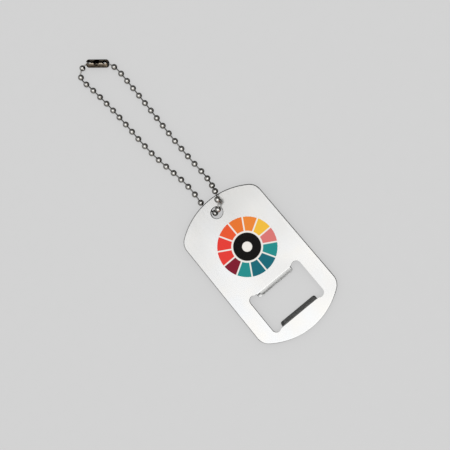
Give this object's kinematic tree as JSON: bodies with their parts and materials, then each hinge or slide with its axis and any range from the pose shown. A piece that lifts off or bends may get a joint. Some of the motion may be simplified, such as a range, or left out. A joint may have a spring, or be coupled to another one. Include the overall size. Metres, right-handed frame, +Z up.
{
  "type": "keychain bottle opener",
  "caption": "Flat steel tag with a lipped bottle-opening window and a round print, on a loop of ball chain with a snap connector.",
  "frame": {"origin": "on the table, under the middle of the box around the tag and its chain", "axes": "+X across the tag, +Y from the tag along the chain, +Z up from the table, the printed face up"},
  "size_m": [0.0306, 0.1164, 0.0074],
  "materials": {
    "tag_steel": "fine brushed bright steel, rolled front edges",
    "print": "thin glossy colour print",
    "chain_nickel": "bright nickel plate, a little tarnished",
    "connector_nickel": "dark, slightly brown nickel plate"
  },
  "bodies": {
    "opener": {"opener_tag": "tag_steel", "printed_disc": "print"},
    "hole_turn": {"hole_ball": "chain_nickel", "left_ball_01": "chain_nickel", "right_ball_01": "chain_nickel", "right_ball_02": "chain_nickel"},
    "loop_01": {"left_ball_02": "chain_nickel", "right_ball_03": "chain_nickel"},
    "loop_02": {"left_ball_03": "chain_nickel", "right_ball_04": "chain_nickel"},
    "loop_03": {"left_ball_04": "chain_nickel", "right_ball_05": "chain_nickel"},
    "loop_04": {"left_ball_05": "chain_nickel", "right_ball_06": "chain_nickel"},
    "loop_05": {"left_ball_06": "chain_nickel", "right_ball_07": "chain_nickel"},
    "loop_06": {"left_ball_07": "chain_nickel", "right_ball_08": "chain_nickel"},
    "loop_07": {"left_ball_08": "chain_nickel", "right_ball_09": "chain_nickel"},
    "loop_08": {"left_ball_09": "chain_nickel", "right_ball_10": "chain_nickel"},
    "loop_09": {"left_ball_10": "chain_nickel", "right_ball_11": "chain_nickel"},
    "loop_10": {"left_ball_11": "chain_nickel", "right_ball_12": "chain_nickel"},
    "loop_11": {"left_ball_12": "chain_nickel", "right_ball_13": "chain_nickel"},
    "loop_12": {"left_ball_13": "chain_nickel", "right_ball_14": "chain_nickel"},
    "loop_13": {"left_ball_14": "chain_nickel", "right_ball_15": "chain_nickel"},
    "loop_14": {"left_ball_15": "chain_nickel", "right_ball_16": "chain_nickel"},
    "loop_15": {"left_ball_16": "chain_nickel", "right_ball_17": "chain_nickel"},
    "loop_16": {"left_ball_17": "chain_nickel", "right_ball_18": "chain_nickel"},
    "loop_17": {"left_ball_18": "chain_nickel", "right_ball_19": "chain_nickel"},
    "loop_18": {"left_ball_19": "chain_nickel", "right_ball_20": "chain_nickel"},
    "loop_19": {"left_ball_20": "chain_nickel"},
    "loop_20": {"left_ball_21": "chain_nickel"},
    "connector": {"left_ball_22": "chain_nickel", "right_ball_21": "chain_nickel", "snap_connector": "connector_nickel"}
  },
  "joints": [
    {"name": "chain_swivel", "type": "hinge", "parent": "opener", "child": "hole_turn", "pos_m": [0, -0.01189, 0.00269], "axis": [0, -0.0284, 0.9996], "range_deg": [-20, 50]},
    {"name": "fold_01", "type": "hinge", "parent": "hole_turn", "child": "loop_01", "pos_m": [0.00085, -0.00695, 0.00337], "axis": [-0.7856, 0.1247, -0.606], "range_deg": [-28, 0]},
    {"name": "fold_02", "type": "hinge", "parent": "loop_01", "child": "loop_02", "pos_m": [0.00115, -0.00398, 0.00224], "axis": [0.8964, -0.2607, 0.3585], "range_deg": [0, 20]},
    {"name": "fold_03", "type": "hinge", "parent": "loop_02", "child": "loop_03", "pos_m": [0.0013, -0.00078, 0.00147], "axis": [-0.937, 0.3217, -0.1362], "range_deg": [-22, 0]},
    {"name": "fold_04", "type": "hinge", "parent": "loop_03", "child": "loop_04", "pos_m": [0.00118, 0.00257, 0.00108], "axis": [0.9466, -0.3216, 0.0224], "range_deg": [0, 22]},
    {"name": "fold_05", "type": "hinge", "parent": "loop_04", "child": "loop_05", "pos_m": [0.00085, 0.00594, 0.001], "axis": [-0.9517, 0.307, 0], "range_deg": [-30, 0]},
    {"name": "fold_06", "type": "hinge", "parent": "loop_05", "child": "loop_06", "pos_m": [0.00051, 0.00932, 0.001], "axis": [0.9585, -0.285, 0], "range_deg": [0, 30]},
    {"name": "fold_07", "type": "hinge", "parent": "loop_06", "child": "loop_07", "pos_m": [0.00021, 0.0127, 0.001], "axis": [-0.9646, 0.2637, 0], "range_deg": [-30, 0]},
    {"name": "fold_08", "type": "hinge", "parent": "loop_07", "child": "loop_08", "pos_m": [0, 0.01608, 0.00107], "axis": [0.9687, -0.2482, 0.0099], "range_deg": [0, 30]},
    {"name": "fold_09", "type": "hinge", "parent": "loop_08", "child": "loop_09", "pos_m": [-0.00013, 0.01948, 0.00112], "axis": [-0.9711, 0.2383, -0.0126], "range_deg": [-30, 0]},
    {"name": "fold_10", "type": "hinge", "parent": "loop_09", "child": "loop_10", "pos_m": [-0.00018, 0.02287, 0.00113], "axis": [0.9728, -0.2316, 0.0098], "range_deg": [0, 30]},
    {"name": "fold_11", "type": "hinge", "parent": "loop_10", "child": "loop_11", "pos_m": [-0.00019, 0.02627, 0.00111], "axis": [-0.974, 0.2267, -0.0047], "range_deg": [-30, 0]},
    {"name": "fold_12", "type": "hinge", "parent": "loop_11", "child": "loop_12", "pos_m": [-0.00019, 0.02967, 0.00106], "axis": [0.9749, -0.2224, 0.0005], "range_deg": [0, 30]},
    {"name": "fold_13", "type": "hinge", "parent": "loop_12", "child": "loop_13", "pos_m": [-0.0002, 0.03307, 0.001], "axis": [-0.9759, 0.218, -0.0001], "range_deg": [-30, 0]},
    {"name": "fold_14", "type": "hinge", "parent": "loop_13", "child": "loop_14", "pos_m": [-0.00025, 0.03646, 0.001], "axis": [0.9771, -0.2128, 0], "range_deg": [0, 30]},
    {"name": "fold_15", "type": "hinge", "parent": "loop_14", "child": "loop_15", "pos_m": [-0.00034, 0.03986, 0.001], "axis": [-0.9785, 0.2064, 0], "range_deg": [-30, 0]},
    {"name": "fold_16", "type": "hinge", "parent": "loop_15", "child": "loop_16", "pos_m": [-0.00046, 0.04325, 0.001], "axis": [0.98, -0.1988, 0], "range_deg": [0, 30]},
    {"name": "fold_17", "type": "hinge", "parent": "loop_16", "child": "loop_17", "pos_m": [-0.00062, 0.04664, 0.00102], "axis": [-0.9818, 0.19, 0.002], "range_deg": [-30, 0]},
    {"name": "fold_18", "type": "hinge", "parent": "loop_17", "child": "loop_18", "pos_m": [-0.00092, 0.05002, 0.00116], "axis": [0.9831, -0.1831, 0.0013], "range_deg": [0, 22]},
    {"name": "fold_19", "type": "hinge", "parent": "loop_18", "child": "loop_19", "pos_m": [-0.00168, 0.05329, 0.0013], "axis": [-0.9757, 0.2116, -0.0568], "range_deg": [-15, 0]},
    {"name": "fold_20", "type": "hinge", "parent": "loop_19", "child": "loop_20", "pos_m": [-0.00072, 0.05461, 0.00138], "axis": [0.8661, -0.4977, 0.0468], "range_deg": [0, 8]},
    {"name": "connector_roll", "type": "hinge", "parent": "loop_20", "child": "connector", "pos_m": [0.0009, 0.05459, 0.0017], "axis": [0.7361, -0.6764, -0.0245], "range_deg": [-90, 90]}
  ]
}
